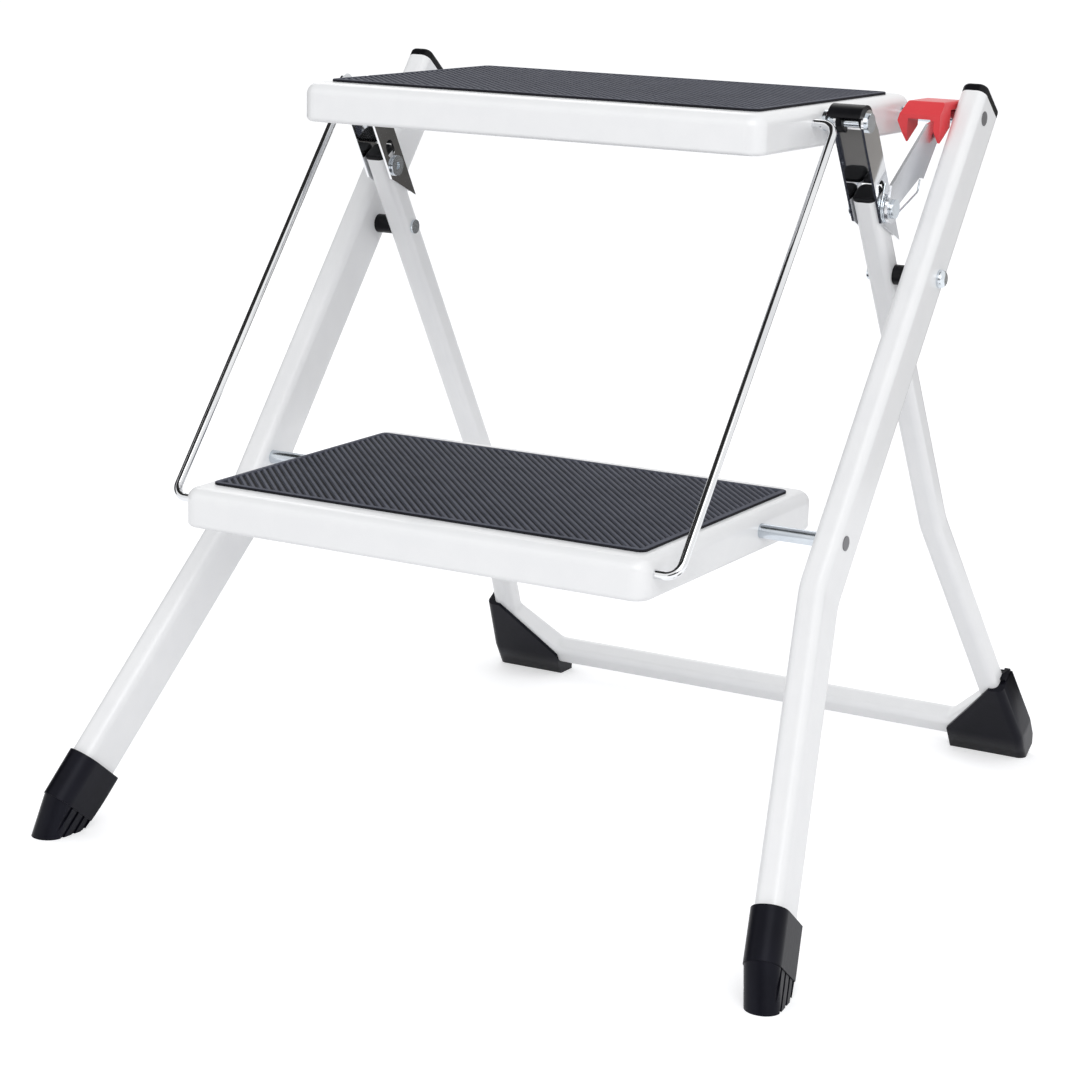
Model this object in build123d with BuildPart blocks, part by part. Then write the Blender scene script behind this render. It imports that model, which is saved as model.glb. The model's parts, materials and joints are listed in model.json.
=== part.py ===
from build123d import *
import math
import os

os.makedirs("parts", exist_ok=True)

# Folding two-step stool, in millimetres and degrees: front at -Y, right at +X, floor at Z = 0

# Stance, seen from the side
pivot_height = 347.5  # rivets where the front legs cross the rear frame
leg_lean = 38.0  # front legs, from the vertical
rear_lean = 31.7  # rear frame, from the vertical

# Widths, from the steps outwards
step_width = 300.0
step_to_tube = 17.0  # from the side of a step to the axis of the rear tube
tube_to_leg = 27.0  # from the axis of the rear tube to that of the leg

# Front legs: flat-sided tubes, bent outwards below the lower step
leg_tube_width = 16.0
leg_tube_depth = 32.5
leg_tube_corner = 5.5
leg_wall = 1.5
leg_top_rise = 117.5  # along the leg, from the pivot to the tube's upper end
leg_bend_drop = 211.0  # along the leg, from the pivot down to the bend
leg_bend_radius = 60.0
leg_splay = 10.3
leg_end_gap = 26.9  # along the leg, from the floor up to the tube's lower end
pivot_setback = 5.0  # pivot behind the axis of the leg
cap_height = 5.8
cap_stem = 6.0
cap_round = 2.2
cap_fit = 0.1

# Front feet
boot_wall = 2.5
boot_height = 49.9  # along the leg, from the floor up to the rim
boot_front_round = 10.3
boot_rear_round = 4.0
toe_height = 27.0  # the toe starts here, at the front
toe_lean = 16.0  # toe, from the vertical
toe_step = 0.5  # toe inside the sleeve, all round
boot_heel_cut = 8.0  # sloped cut at the back of the sole
tread_slot_places = (-7.0, 0.0, 7.0, 13.0)  # behind the axis of the leg
tread_slot_width = 2.3
tread_slot_depth = 1.6

# Rods that carry the steps
rod_diameter = 8.5
rod_end_proud = 0.4
rod_setback = 5.0  # rods in front of the axis of the leg
upper_rod_rise = 105.5  # along the leg, from the pivot
lower_rod_drop = 179.5

# Pivot between the legs and the rear frame
pivot_shank_diameter = 6.0
pivot_head_diameter = 11.0
pivot_head_height = 4.2
pivot_tail_diameter = 9.0
pivot_tail_height = 1.4
pivot_spacer_diameter = 12.0
running_clearance = 0.05  # radial, on every pin that turns
side_clearance = 0.1  # between flat faces that slide past each other

# Rear frame: one tube bent to a U, with slanted lower corners
rear_tube_width = 15.0
rear_tube_depth = 16.0
rear_tube_corner = 4.5
rear_wall = 1.4
rear_bend_drop = 200.0
rear_bend_radius = 60.0
rear_splay = 7.6
corner_rise = 54.4  # along the frame, from the floor up to the start of the slanted corner
crossbar_rise = 21.4
crossbar_inset = 11.5  # ends of the slanted corners, inside the upper stretches
corner_bend_radius = 13.0
tube_end_rise = 9.0  # square end above the bracket's lower rivet
plug_length = 18.0
plug_flange = 2.2
plug_round = 1.8

# Rear feet
foot_wall = 2.5
heel_height = 14.0  # the heel is upright below this
foot_inner_inset = 3.5  # foot past the inner end of the slanted corner
foot_shoulder_rise = 14.5  # front wall above the start of the slanted corner
foot_lip_rise = 16.5  # lip above the start of the slanted corner
foot_lip_thickness = 5.0
foot_side_drop = 30.0  # outer side upright from here, below the start of the slanted corner
foot_cover = 2.6  # front wall above the axis of the crossbar
foot_flare = 9.5  # outer side beyond the tube
foot_corner_cut = 8.0
foot_edge_round = 1.2
foot_side_round = 5.0

# Toggle brackets: channels that link the rear frame to the top step
link_reach = 48.5  # from the pivot up to the bracket's lower rivet
bracket_length = 59.5  # between the two pins
bracket_sheet = 1.5
bracket_gap = 0.3  # each side of the tube
bracket_front = 8.0  # front edge, from the line of the pins
bracket_rear = 10.0  # outside of the web, from the line of the pins
bracket_tip_drop = 30.5
bracket_slant_drop = 5.0
bracket_web_rise = 10.4  # web above the lower rivet, past the end of the tube
bracket_shoulder = 48.0
bracket_head_radius = 7.6
bracket_slot_rise = 13.0
bracket_slot_length = 12.0
bracket_slot_width = 8.0
link_shank_diameter = 6.0
link_head_diameter = 13.0
link_head_height = 1.5
link_hollow_diameter = 4.5
link_hollow_depth = 1.0
hinge_pin_diameter = 6.0
hinge_head_diameter = 11.0
hinge_head_height = 1.8
hinge_washer_diameter = 12.0
hinge_washer_thickness = 2.0
cap_roof_radius = 10.0
cap_roof_thickness = 1.8
cap_roof_edge = 2.9  # roof's lower edge above the pin's axis
cap_overlap = 3.2  # roof past the inner flange
cap_end_wall = 1.2
cap_lug_thickness = 2.5
cap_lug_width = 9.0
cap_lug_drop = 7.0
cap_lug_point = 2.0

# Steps: pressed pans with rubber mats
step_depth = 217.0
step_height = 23.0
step_sheet = 1.5
step_corner = 10.0
step_edge_round = 7.0
step_lip_round = 2.8
step_hem_width = 5.0  # folded hem round the open underside
step_hem_height = 3.0
rod_below_deck = 10.7
top_overhang = 15.8  # deck behind the upper rod
lower_overhang = 73.8  # deck behind the lower rod
mat_side_margin = 9.5
mat_end_margin = 17.0
mat_thickness = 1.6
mat_corner = 4.5
mat_border = 3.5
mat_recess = 0.6

# Struts: wires that hang the lower step from the top one
strut_wire = 5.0
strut_reach = 131.0  # in front of the rods
strut_lift = 1.8  # above the rods
strut_stand = 13.8  # wire's axis outside the pan
strut_bend = 8.0
hinge_pin_gap = 0.3  # between pin and washer, where the linkage is opened
strut_tail = 6.0  # inside the pan
clip_diameter = 9.0
clip_thickness = 1.2
clip_gap = 1.0

# Catch on the right: a sprung lever whose hook stands in front of the upper rod
lever_sheet = 1.8
lever_leg_gap = 5.0
lever_eye_radius = 8.5
lever_shoulder_reach = 4.0  # upper edge, from the rivet
lever_shoulder_rise = 13.5
lever_crown_reach = 64.0
lever_crown_rise = 15.5
lever_blade_reach = 79.0  # end inside the hook
lever_blade_rise = 9.5
lever_neck_reach = 69.0  # lower edge, from the hook back to the rivet
lever_neck_drop = 3.2
lever_tooth_reach = 45.5
lever_tooth_drop = 10.5
lever_notch_reach = 41.5
lever_notch_drop = 6.5
lever_root_reach = 6.5
lever_root_drop = 2.5
catch_bush_diameter = 12.0
catch_head_diameter = 11.0
catch_head_height = 2.0
spring_wire = 1.1
spring_radius = 8.0  # to the middle of the wire
spring_pitch = 1.15
spring_turns = 1.35
spring_exit = -102.0  # where the long leg leaves the coil, from the line of the lever
spring_step = 22.5
spring_short_leg = 13.0
spring_knee_reach = 40.0  # long leg, from the rivet
spring_knee_drop = 16.0
spring_tip_reach = 45.5
spring_tip_drop = 11.2
spring_knee_radius = 3.0
hook_width = 26.8
hook_front = 27.0  # front face ahead of the rod
hook_rear = 9.0
hook_top = 9.5
hook_brow = 7.5
hook_roof = 2.8
hook_tip_front = 25.5
hook_tip_drop = 14.2
hook_heel_front = 10.5
hook_heel_drop = 5.5
hook_throat_gap = 0.3
hook_left_wall = 6.5
hook_right_wall = 6.2
hook_front_wall = 3.0
hook_apron_drop = 0.6
hook_round = 1.6
hook_flare = 3.5  # left prong's widest point beyond the roof
hook_flare_drop = 2.0
hook_left_taper = 5.6
hook_right_tip = 1.3  # right prong's tip inside the outer face
hook_face_drop = 9.0
hook_leg_gap = 1.2

# Directions
leg_sin = math.sin(math.radians(leg_lean))
leg_cos = math.cos(math.radians(leg_lean))
rear_sin = math.sin(math.radians(rear_lean))
rear_cos = math.cos(math.radians(rear_lean))
splay_sin = math.sin(math.radians(leg_splay))
splay_cos = math.cos(math.radians(leg_splay))
splay_tan = math.tan(math.radians(leg_splay))
rear_splay_tan = math.tan(math.radians(rear_splay))
toe_tan = math.tan(math.radians(toe_lean))

# Lengths from the pivot down to the floor, and what stands on it
leg_floor_drop = (pivot_height + pivot_setback * leg_sin) / leg_cos
leg_end_drop = leg_floor_drop - leg_end_gap
boot_rim_drop = leg_floor_drop - boot_height
floor_drop = pivot_height / rear_cos
corner_drop = floor_drop - corner_rise
crossbar_drop = floor_drop - crossbar_rise

# Toe and heel, level with the pivot as zero: the origin lies midway between them
boot_face = pivot_setback + leg_tube_depth / 2 + boot_wall
toe_along = (pivot_height - toe_height + boot_face * leg_sin) / leg_cos
toe_front = toe_along * leg_sin + (boot_face - toe_step) * leg_cos
toe_reach = toe_front + (toe_height - toe_step * leg_sin) * toe_tan
foot_half_depth = rear_tube_depth / 2 + foot_wall
heel_along = (pivot_height - heel_height + foot_half_depth * rear_sin) / rear_cos
heel_reach = heel_along * rear_sin + foot_half_depth * rear_cos
pivot_y = (toe_reach - heel_reach) / 2


def leg_point(along, across):
    # Side view of the front legs: along is up the leg from the pivot, across is to the rear
    return (
        pivot_y + along * leg_sin + across * leg_cos,
        pivot_height + along * leg_cos - across * leg_sin,
    )


def rear_point(along, across):
    # Side view of the rear frame: along is up the frame from the pivot, across is to the rear
    return (
        pivot_y - along * rear_sin + across * rear_cos,
        pivot_height + along * rear_cos + across * rear_sin,
    )


# Axes that run across the stool, as (y, z)
pivot_at = (pivot_y, pivot_height)
upper_rod_at = leg_point(upper_rod_rise, -pivot_setback - rod_setback)
lower_rod_at = leg_point(-lower_rod_drop, -pivot_setback - rod_setback)
link_at = rear_point(link_reach, 0)
hinge_at = rear_point(link_reach + bracket_length, 0)
strut_top_at = (upper_rod_at[0] - strut_reach, upper_rod_at[1] + strut_lift)
strut_foot_at = (lower_rod_at[0] - strut_reach, lower_rod_at[1] + strut_lift)

# Stations across the stool, from the middle outwards
rear_spacing = step_width + 2 * step_to_tube
leg_spacing = rear_spacing + 2 * tube_to_leg
leg_inner = leg_spacing / 2 - leg_tube_width / 2
leg_outer = leg_spacing / 2 + leg_tube_width / 2
tube_inner = rear_spacing / 2 - rear_tube_width / 2
tube_outer = rear_spacing / 2 + rear_tube_width / 2
pan_side = step_width / 2
flange_inner = tube_inner - bracket_gap - bracket_sheet
flange_outer = tube_outer + bracket_gap + bracket_sheet
lever_outer = leg_inner - lever_leg_gap
lever_inner = lever_outer - lever_sheet
hook_outer = leg_inner - hook_leg_gap


def across_plane(station, at, angle=0):
    # Plane square to the width of the stool, with its first axis turned up from the rear
    turn = math.radians(angle)
    return Plane(
        origin=(station, at[0], at[1]),
        x_dir=(0, math.cos(turn), math.sin(turn)),
        z_dir=(1, 0, 0),
    )


rear_plane = Plane(
    origin=(0, pivot_y, pivot_height),
    x_dir=(1, 0, 0),
    z_dir=(0, -rear_cos, -rear_sin),
)
heel_plane = Plane(origin=(0, pivot_y + heel_reach, 0), z_dir=(0, 1, 0))

# Front legs, with the cap, the foot, the pivot rivet and the spacer of each side
for side, tag in ((-1, "left"), (1, "right")):
    leg_plane = Plane(
        origin=(side * leg_spacing / 2, *leg_point(0, -pivot_setback)),
        x_dir=(side, 0, 0),
        z_dir=(0, -side * leg_cos, side * leg_sin),
    )
    end_shift = (leg_end_drop - leg_bend_drop) * splay_tan
    rim_shift = (boot_rim_drop - leg_bend_drop) * splay_tan
    rim_plane = Plane(
        origin=leg_plane.from_local_coords((rim_shift, -boot_rim_drop, 0)),
        x_dir=leg_plane.from_local_coords((splay_cos, splay_sin, 0)) - leg_plane.origin,
        z_dir=leg_plane.from_local_coords((splay_sin, -splay_cos, 0)) - leg_plane.origin,
    )
    slot_rear = 1 if rim_plane.y_dir.Y > 0 else -1
    front_row, rear_row = (0, -1) if slot_rear > 0 else (-1, 0)
    sleeve_length = (toe_along - boot_rim_drop) / splay_cos
    toe_plane = rim_plane.offset(sleeve_length)
    boot_width = leg_tube_width + 2 * boot_wall
    boot_depth = leg_tube_depth + 2 * boot_wall
    crown_plane = Plane(
        origin=leg_plane.from_local_coords((0, leg_top_rise, 0)),
        x_dir=(1, 0, 0),
        z_dir=(0, leg_sin, leg_cos),
    )

    with BuildPart() as front_leg:
        with BuildLine(leg_plane) as leg_path:
            FilletPolyline(
                (0, leg_top_rise),
                (0, -leg_bend_drop),
                (end_shift, -leg_end_drop),
                radius=leg_bend_radius,
            )
        with BuildSketch(Plane(origin=leg_path.line @ 0, x_dir=(1, 0, 0), z_dir=leg_path.line % 0)):
            RectangleRounded(leg_tube_width, leg_tube_depth, leg_tube_corner)
            RectangleRounded(
                leg_tube_width - 2 * leg_wall,
                leg_tube_depth - 2 * leg_wall,
                leg_tube_corner - leg_wall,
                mode=Mode.SUBTRACT,
            )
        sweep(path=leg_path.line)
        with BuildSketch(Plane.YZ):
            with Locations(upper_rod_at, lower_rod_at):
                Circle(rod_diameter / 2 + running_clearance)
            with Locations(pivot_at):
                Circle(pivot_shank_diameter / 2 + running_clearance)
        extrude(amount=leg_spacing, both=True, mode=Mode.SUBTRACT)
    front_leg.part.label = f"front_leg_{tag}"
    export_step(front_leg.part, f"parts/front_leg_{tag}.step")

    with BuildPart() as leg_cap:
        with BuildSketch(crown_plane):
            RectangleRounded(leg_tube_width, leg_tube_depth, leg_tube_corner)
        extrude(amount=cap_height)
        fillet(leg_cap.faces().sort_by(Axis(crown_plane.origin, crown_plane.z_dir))[-1].edges(), cap_round)
        with BuildSketch(crown_plane):
            RectangleRounded(
                leg_tube_width - 2 * leg_wall - 2 * cap_fit,
                leg_tube_depth - 2 * leg_wall - 2 * cap_fit,
                leg_tube_corner - leg_wall - cap_fit,
            )
        extrude(amount=-cap_stem)
    leg_cap.part.label = f"front_leg_cap_{tag}"
    export_step(leg_cap.part, f"parts/front_leg_cap_{tag}.step")

    with BuildPart() as front_foot:
        with BuildSketch(rim_plane) as sleeve_shape:
            Rectangle(boot_width, boot_depth)
            fillet(sleeve_shape.vertices().group_by(Axis.Y)[front_row], boot_front_round)
            fillet(sleeve_shape.vertices().group_by(Axis.Y)[rear_row], boot_rear_round)
        extrude(amount=sleeve_length)
        with BuildSketch(toe_plane) as toe_shape:
            Rectangle(boot_width - 2 * toe_step, boot_depth - 2 * toe_step)
            fillet(toe_shape.vertices().group_by(Axis.Y)[front_row], boot_front_round - toe_step)
            fillet(toe_shape.vertices().group_by(Axis.Y)[rear_row], boot_rear_round - toe_step)
        extrude(amount=2 * toe_height, dir=(side * splay_tan, -toe_tan, -1))
        split(bisect_by=Plane.XY, keep=Keep.TOP)
        sole_back = front_foot.faces().sort_by(Axis.Z)[0].bounding_box().max.Y - boot_heel_cut
        split(bisect_by=Plane(origin=(0, sole_back, 0), z_dir=(0, 1, -1)), keep=Keep.BOTTOM)
        with BuildSketch(rim_plane):
            RectangleRounded(leg_tube_width, leg_tube_depth, leg_tube_corner)
        extrude(amount=(leg_end_drop - boot_rim_drop) / splay_cos, mode=Mode.SUBTRACT)
        with BuildSketch(toe_plane):
            for slot_place in tread_slot_places:
                for slot_side in (-1, 1):
                    with Locations((slot_side * boot_width / 2, slot_rear * slot_place)):
                        Rectangle(2 * tread_slot_depth, tread_slot_width)
        extrude(amount=boot_height, mode=Mode.SUBTRACT)
    front_foot.part.label = f"front_foot_{tag}"
    export_step(front_foot.part, f"parts/front_foot_{tag}.step")

    with BuildPart() as pivot_rivet:
        with BuildSketch(across_plane(side * (tube_inner - side_clearance), pivot_at)):
            Circle(pivot_shank_diameter / 2)
        extrude(amount=side * (leg_outer - tube_inner + side_clearance))
        with BuildSketch(across_plane(side * leg_outer, pivot_at)):
            Circle(pivot_head_diameter / 2)
        extrude(amount=side * pivot_head_height)
        fillet(pivot_rivet.faces().sort_by(Axis.X)[-1 if side > 0 else 0].edges(), 0.8 * pivot_head_height)
        with BuildSketch(across_plane(side * (tube_inner - side_clearance), pivot_at)):
            Circle(pivot_tail_diameter / 2)
        extrude(amount=-side * pivot_tail_height)
    pivot_rivet.part.label = f"pivot_rivet_{tag}"
    export_step(pivot_rivet.part, f"parts/pivot_rivet_{tag}.step")

    with BuildPart() as pivot_spacer:
        with BuildSketch(across_plane(side * (tube_outer + side_clearance), pivot_at)):
            Circle(pivot_spacer_diameter / 2)
            Circle(pivot_shank_diameter / 2 + running_clearance, mode=Mode.SUBTRACT)
        extrude(amount=side * (leg_inner - tube_outer - side_clearance))
    pivot_spacer.part.label = f"pivot_spacer_{tag}"
    export_step(pivot_spacer.part, f"parts/pivot_spacer_{tag}.step")

# Rods through the legs, one behind the top step and one under the lower step
for name, rod_at in (("upper_rod", upper_rod_at), ("lower_rod", lower_rod_at)):
    with BuildPart() as rod:
        with BuildSketch(across_plane(0, rod_at)):
            Circle(rod_diameter / 2)
        extrude(amount=leg_outer + rod_end_proud, both=True)
    rod.part.label = name
    export_step(rod.part, f"parts/{name}.step")

# Rear frame
rear_half = rear_spacing / 2
corner_half = rear_half + (corner_drop - rear_bend_drop) * rear_splay_tan
crossbar_half = rear_half - crossbar_inset
rear_top = link_reach + tube_end_rise
rear_route = [
    (-rear_half, rear_top),
    (-rear_half, -rear_bend_drop),
    (-corner_half, -corner_drop),
    (-crossbar_half, -crossbar_drop),
    (crossbar_half, -crossbar_drop),
    (corner_half, -corner_drop),
    (rear_half, -rear_bend_drop),
    (rear_half, rear_top),
]
rear_radii = [rear_bend_radius] + [corner_bend_radius] * 4 + [rear_bend_radius]

with BuildPart() as rear_core:
    with BuildLine(rear_plane) as core_path:
        FilletPolyline(*rear_route, radius=rear_radii)
    with BuildSketch(Plane(origin=core_path.line @ 0, x_dir=(1, 0, 0), z_dir=core_path.line % 0)):
        RectangleRounded(rear_tube_width, rear_tube_depth, rear_tube_corner)
    sweep(path=core_path.line)

with BuildPart() as rear_frame:
    with BuildLine(rear_plane) as rear_path:
        FilletPolyline(*rear_route, radius=rear_radii)
    with BuildSketch(Plane(origin=rear_path.line @ 0, x_dir=(1, 0, 0), z_dir=rear_path.line % 0)):
        RectangleRounded(rear_tube_width, rear_tube_depth, rear_tube_corner)
        RectangleRounded(
            rear_tube_width - 2 * rear_wall,
            rear_tube_depth - 2 * rear_wall,
            rear_tube_corner - rear_wall,
            mode=Mode.SUBTRACT,
        )
    sweep(path=rear_path.line)
    with BuildSketch(Plane.YZ):
        with Locations(link_at):
            Circle(link_shank_diameter / 2 + running_clearance)
        with Locations(pivot_at):
            Circle(pivot_shank_diameter / 2 + running_clearance)
    extrude(amount=rear_spacing, both=True, mode=Mode.SUBTRACT)
rear_frame.part.label = "rear_frame"
export_step(rear_frame.part, "parts/rear_frame.step")

# Rear feet, plugs and lower bracket rivets
foot_outer = corner_half + rear_tube_width / 2 + foot_flare
lip_drop = corner_drop - foot_lip_rise
lip_inner = rear_half + (lip_drop - rear_bend_drop) * rear_splay_tan + rear_tube_width / 2

for side, tag in ((-1, "left"), (1, "right")):
    with BuildPart() as rear_foot:
        with BuildSketch(rear_plane):
            with BuildLine():
                Polyline(
                    (side * (crossbar_half - foot_inner_inset), -floor_drop - foot_half_depth),
                    (side * (crossbar_half - foot_inner_inset), -crossbar_drop + foot_cover),
                    (side * corner_half, -corner_drop + foot_shoulder_rise),
                    (side * (lip_inner + foot_lip_thickness), -corner_drop + foot_shoulder_rise),
                    (side * foot_outer, -corner_drop - foot_side_drop),
                    (side * foot_outer, -floor_drop + foot_corner_cut / 2),
                    (side * (foot_outer - foot_corner_cut), -floor_drop - foot_half_depth),
                    close=True,
                )
            make_face()
        extrude(amount=foot_half_depth, both=True)
        front_edges = rear_foot.faces().sort_by(Axis((0, 0, 0), (0, rear_cos, rear_sin)))[0].edges()
        outer_edges = front_edges.sort_by(Axis((0, 0, 0), (side, 0, 0)))[-3:]
        fillet(outer_edges, foot_side_round)
        with BuildSketch(rear_plane):
            with BuildLine():
                Polyline(
                    (side * lip_inner, -corner_drop),
                    (side * lip_inner, -lip_drop),
                    (side * (lip_inner + foot_lip_thickness - foot_edge_round), -lip_drop),
                    (side * (lip_inner + foot_lip_thickness), -corner_drop),
                    close=True,
                )
            make_face()
        extrude(amount=-foot_half_depth)
        split(bisect_by=Plane.XY, keep=Keep.TOP)
        split(bisect_by=heel_plane, keep=Keep.BOTTOM)
        add(rear_core.part, mode=Mode.SUBTRACT)
    rear_foot.part.label = f"rear_foot_{tag}"
    export_step(rear_foot.part, f"parts/rear_foot_{tag}.step")

    plug_plane = Plane(
        origin=(side * rear_half, *rear_point(rear_top, 0)),
        x_dir=(1, 0, 0),
        z_dir=(0, -rear_sin, rear_cos),
    )
    with BuildPart() as rear_plug:
        with BuildSketch(plug_plane):
            RectangleRounded(
                rear_tube_width - 2 * rear_wall - 2 * cap_fit,
                rear_tube_depth - 2 * rear_wall - 2 * cap_fit,
                rear_tube_corner - rear_wall - cap_fit,
            )
        extrude(amount=-plug_length)
        with BuildSketch(plug_plane):
            RectangleRounded(rear_tube_width, rear_tube_depth, rear_tube_corner)
        extrude(amount=plug_flange)
        fillet(rear_plug.faces().sort_by(Axis(plug_plane.origin, plug_plane.z_dir))[-1].edges(), plug_round)
        with BuildSketch(across_plane(0, link_at)):
            Circle(link_shank_diameter / 2 + running_clearance)
        extrude(amount=rear_spacing, both=True, mode=Mode.SUBTRACT)
    rear_plug.part.label = f"rear_plug_{tag}"
    export_step(rear_plug.part, f"parts/rear_plug_{tag}.step")

    # The right rivet is longer, because it also carries the catch
    link_end = lever_outer + side_clearance if side > 0 else flange_outer + side_clearance
    with BuildPart() as link_rivet:
        with BuildSketch(across_plane(side * (flange_inner - side_clearance), link_at)):
            Circle(link_shank_diameter / 2)
        extrude(amount=side * (link_end - flange_inner + side_clearance))
        with BuildSketch(across_plane(side * (flange_inner - side_clearance), link_at)):
            Circle(link_head_diameter / 2)
        extrude(amount=-side * link_head_height)
        with BuildSketch(across_plane(side * (flange_inner - side_clearance - link_head_height), link_at)):
            Circle(link_hollow_diameter / 2)
        extrude(amount=side * link_hollow_depth, mode=Mode.SUBTRACT)
        with BuildSketch(across_plane(side * link_end, link_at)):
            Circle(catch_head_diameter / 2)
        extrude(amount=side * (catch_head_height - side_clearance))
    link_rivet.part.label = f"link_rivet_{tag}"
    export_step(link_rivet.part, f"parts/link_rivet_{tag}.step")

# Steps: the same pan and mat, hung on different rods
mat_width = step_width - 2 * mat_side_margin
mat_depth = step_depth - 2 * mat_end_margin

for name, rod_at, overhang, strut_at in (
    ("top_step", upper_rod_at, top_overhang, strut_top_at),
    ("lower_step", lower_rod_at, lower_overhang, strut_foot_at),
):
    deck = Plane(origin=(0, rod_at[0] + overhang - step_depth / 2, rod_at[1] + rod_below_deck))
    with BuildPart() as pan_hollow:
        with BuildSketch(deck.offset(-step_sheet)):
            RectangleRounded(step_width - 2 * step_sheet, step_depth - 2 * step_sheet, step_corner - step_sheet)
        extrude(amount=step_sheet + step_hem_height - step_height)
        fillet(pan_hollow.faces().sort_by(Axis.Z)[-1].edges(), step_edge_round - step_sheet)

    with BuildPart() as pan:
        with BuildSketch(deck):
            RectangleRounded(step_width, step_depth, step_corner)
        extrude(amount=-step_height)
        fillet(pan.faces().sort_by(Axis.Z)[-1].edges(), step_edge_round)
        fillet(pan.faces().sort_by(Axis.Z)[0].edges(), step_lip_round)
        add(pan_hollow.part, mode=Mode.SUBTRACT)
        with BuildSketch(deck.offset(-step_height)):
            RectangleRounded(
                step_width - 2 * step_hem_width,
                step_depth - 2 * step_hem_width,
                step_corner - step_hem_width,
            )
        extrude(amount=2 * step_hem_height, mode=Mode.SUBTRACT)
        with BuildSketch(Plane.YZ):
            with Locations(rod_at):
                Circle(rod_diameter / 2 + running_clearance)
            with Locations(strut_at):
                Circle(strut_wire / 2 + running_clearance)
        extrude(amount=step_width, both=True, mode=Mode.SUBTRACT)
    pan.part.label = f"{name}_pan"
    export_step(pan.part, f"parts/{name}_pan.step")

    with BuildPart() as mat:
        with BuildSketch(deck):
            RectangleRounded(mat_width, mat_depth, mat_corner)
        extrude(amount=mat_thickness)
        with BuildSketch(deck.offset(mat_thickness)):
            RectangleRounded(mat_width - 2 * mat_border, mat_depth - 2 * mat_border, mat_corner - mat_border)
        extrude(amount=-mat_recess, mode=Mode.SUBTRACT)
    mat.part.label = f"{name}_mat"
    export_step(mat.part, f"parts/{name}_mat.step")

with BuildPart() as hinge_washers:
    for side in (-1, 1):
        with BuildSketch(across_plane(side * pan_side, hinge_at)):
            Circle(hinge_washer_diameter / 2)
        extrude(amount=side * hinge_washer_thickness)
hinge_washers.part.label = "hinge_washers"
export_step(hinge_washers.part, "parts/hinge_washers.step")

# Toggle brackets, each with its upper pin
web_inner = bracket_rear - bracket_sheet
hinge_end = pan_side + hinge_washer_thickness + hinge_pin_gap
cap_end = flange_inner - cap_overlap
bracket_top = bracket_length + bracket_head_radius

for side, tag in ((-1, "left"), (1, "right")):
    with BuildPart() as bracket:
        with BuildSketch(across_plane(side * flange_inner, link_at, rear_lean)):
            with BuildLine():
                Polyline(
                    (-bracket_head_radius, bracket_length),
                    (-bracket_front, bracket_shoulder),
                    (-bracket_front, -bracket_slant_drop),
                    (bracket_rear, -bracket_tip_drop),
                    (bracket_rear, bracket_shoulder),
                    (bracket_head_radius, bracket_length),
                )
                ThreePointArc(
                    (bracket_head_radius, bracket_length),
                    (0, bracket_top),
                    (-bracket_head_radius, bracket_length),
                )
            make_face()
            Circle(link_shank_diameter / 2 + running_clearance, mode=Mode.SUBTRACT)
            with Locations((0, bracket_length)):
                Circle(hinge_pin_diameter / 2 + running_clearance, mode=Mode.SUBTRACT)
        extrude(amount=side * (flange_outer - flange_inner))
        with BuildSketch(across_plane(side * (flange_inner + bracket_sheet), link_at, rear_lean)):
            with Locations((web_inner, 0)):
                Rectangle(4 * bracket_front, 4 * bracket_length, align=(Align.MAX, Align.CENTER))
            with Locations((web_inner, bracket_web_rise)):
                Rectangle(4 * bracket_front, bracket_length, align=(Align.CENTER, Align.MAX))
            with Locations((web_inner, bracket_shoulder)):
                Rectangle(4 * bracket_front, bracket_length, align=(Align.CENTER, Align.MIN))
        extrude(amount=side * (flange_outer - flange_inner - 2 * bracket_sheet), mode=Mode.SUBTRACT)
        slotted = flange_outer if side > 0 else -flange_inner
        with BuildSketch(across_plane(slotted, link_at, rear_lean)):
            with Locations((0, bracket_slot_rise)):
                SlotOverall(bracket_slot_length, bracket_slot_width, rotation=90)
        extrude(amount=-bracket_sheet, mode=Mode.SUBTRACT)
    bracket.part.label = f"toggle_bracket_{tag}"
    export_step(bracket.part, f"parts/toggle_bracket_{tag}.step")

    with BuildPart() as hinge_pin:
        with BuildSketch(across_plane(side * hinge_end, hinge_at)):
            Circle(hinge_pin_diameter / 2)
        extrude(amount=side * (flange_outer - hinge_end))
        with BuildSketch(across_plane(side * flange_outer, hinge_at)):
            Circle(hinge_head_diameter / 2)
        extrude(amount=side * hinge_head_height)
    hinge_pin.part.label = f"hinge_pin_{tag}"
    export_step(hinge_pin.part, f"parts/hinge_pin_{tag}.step")

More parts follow.
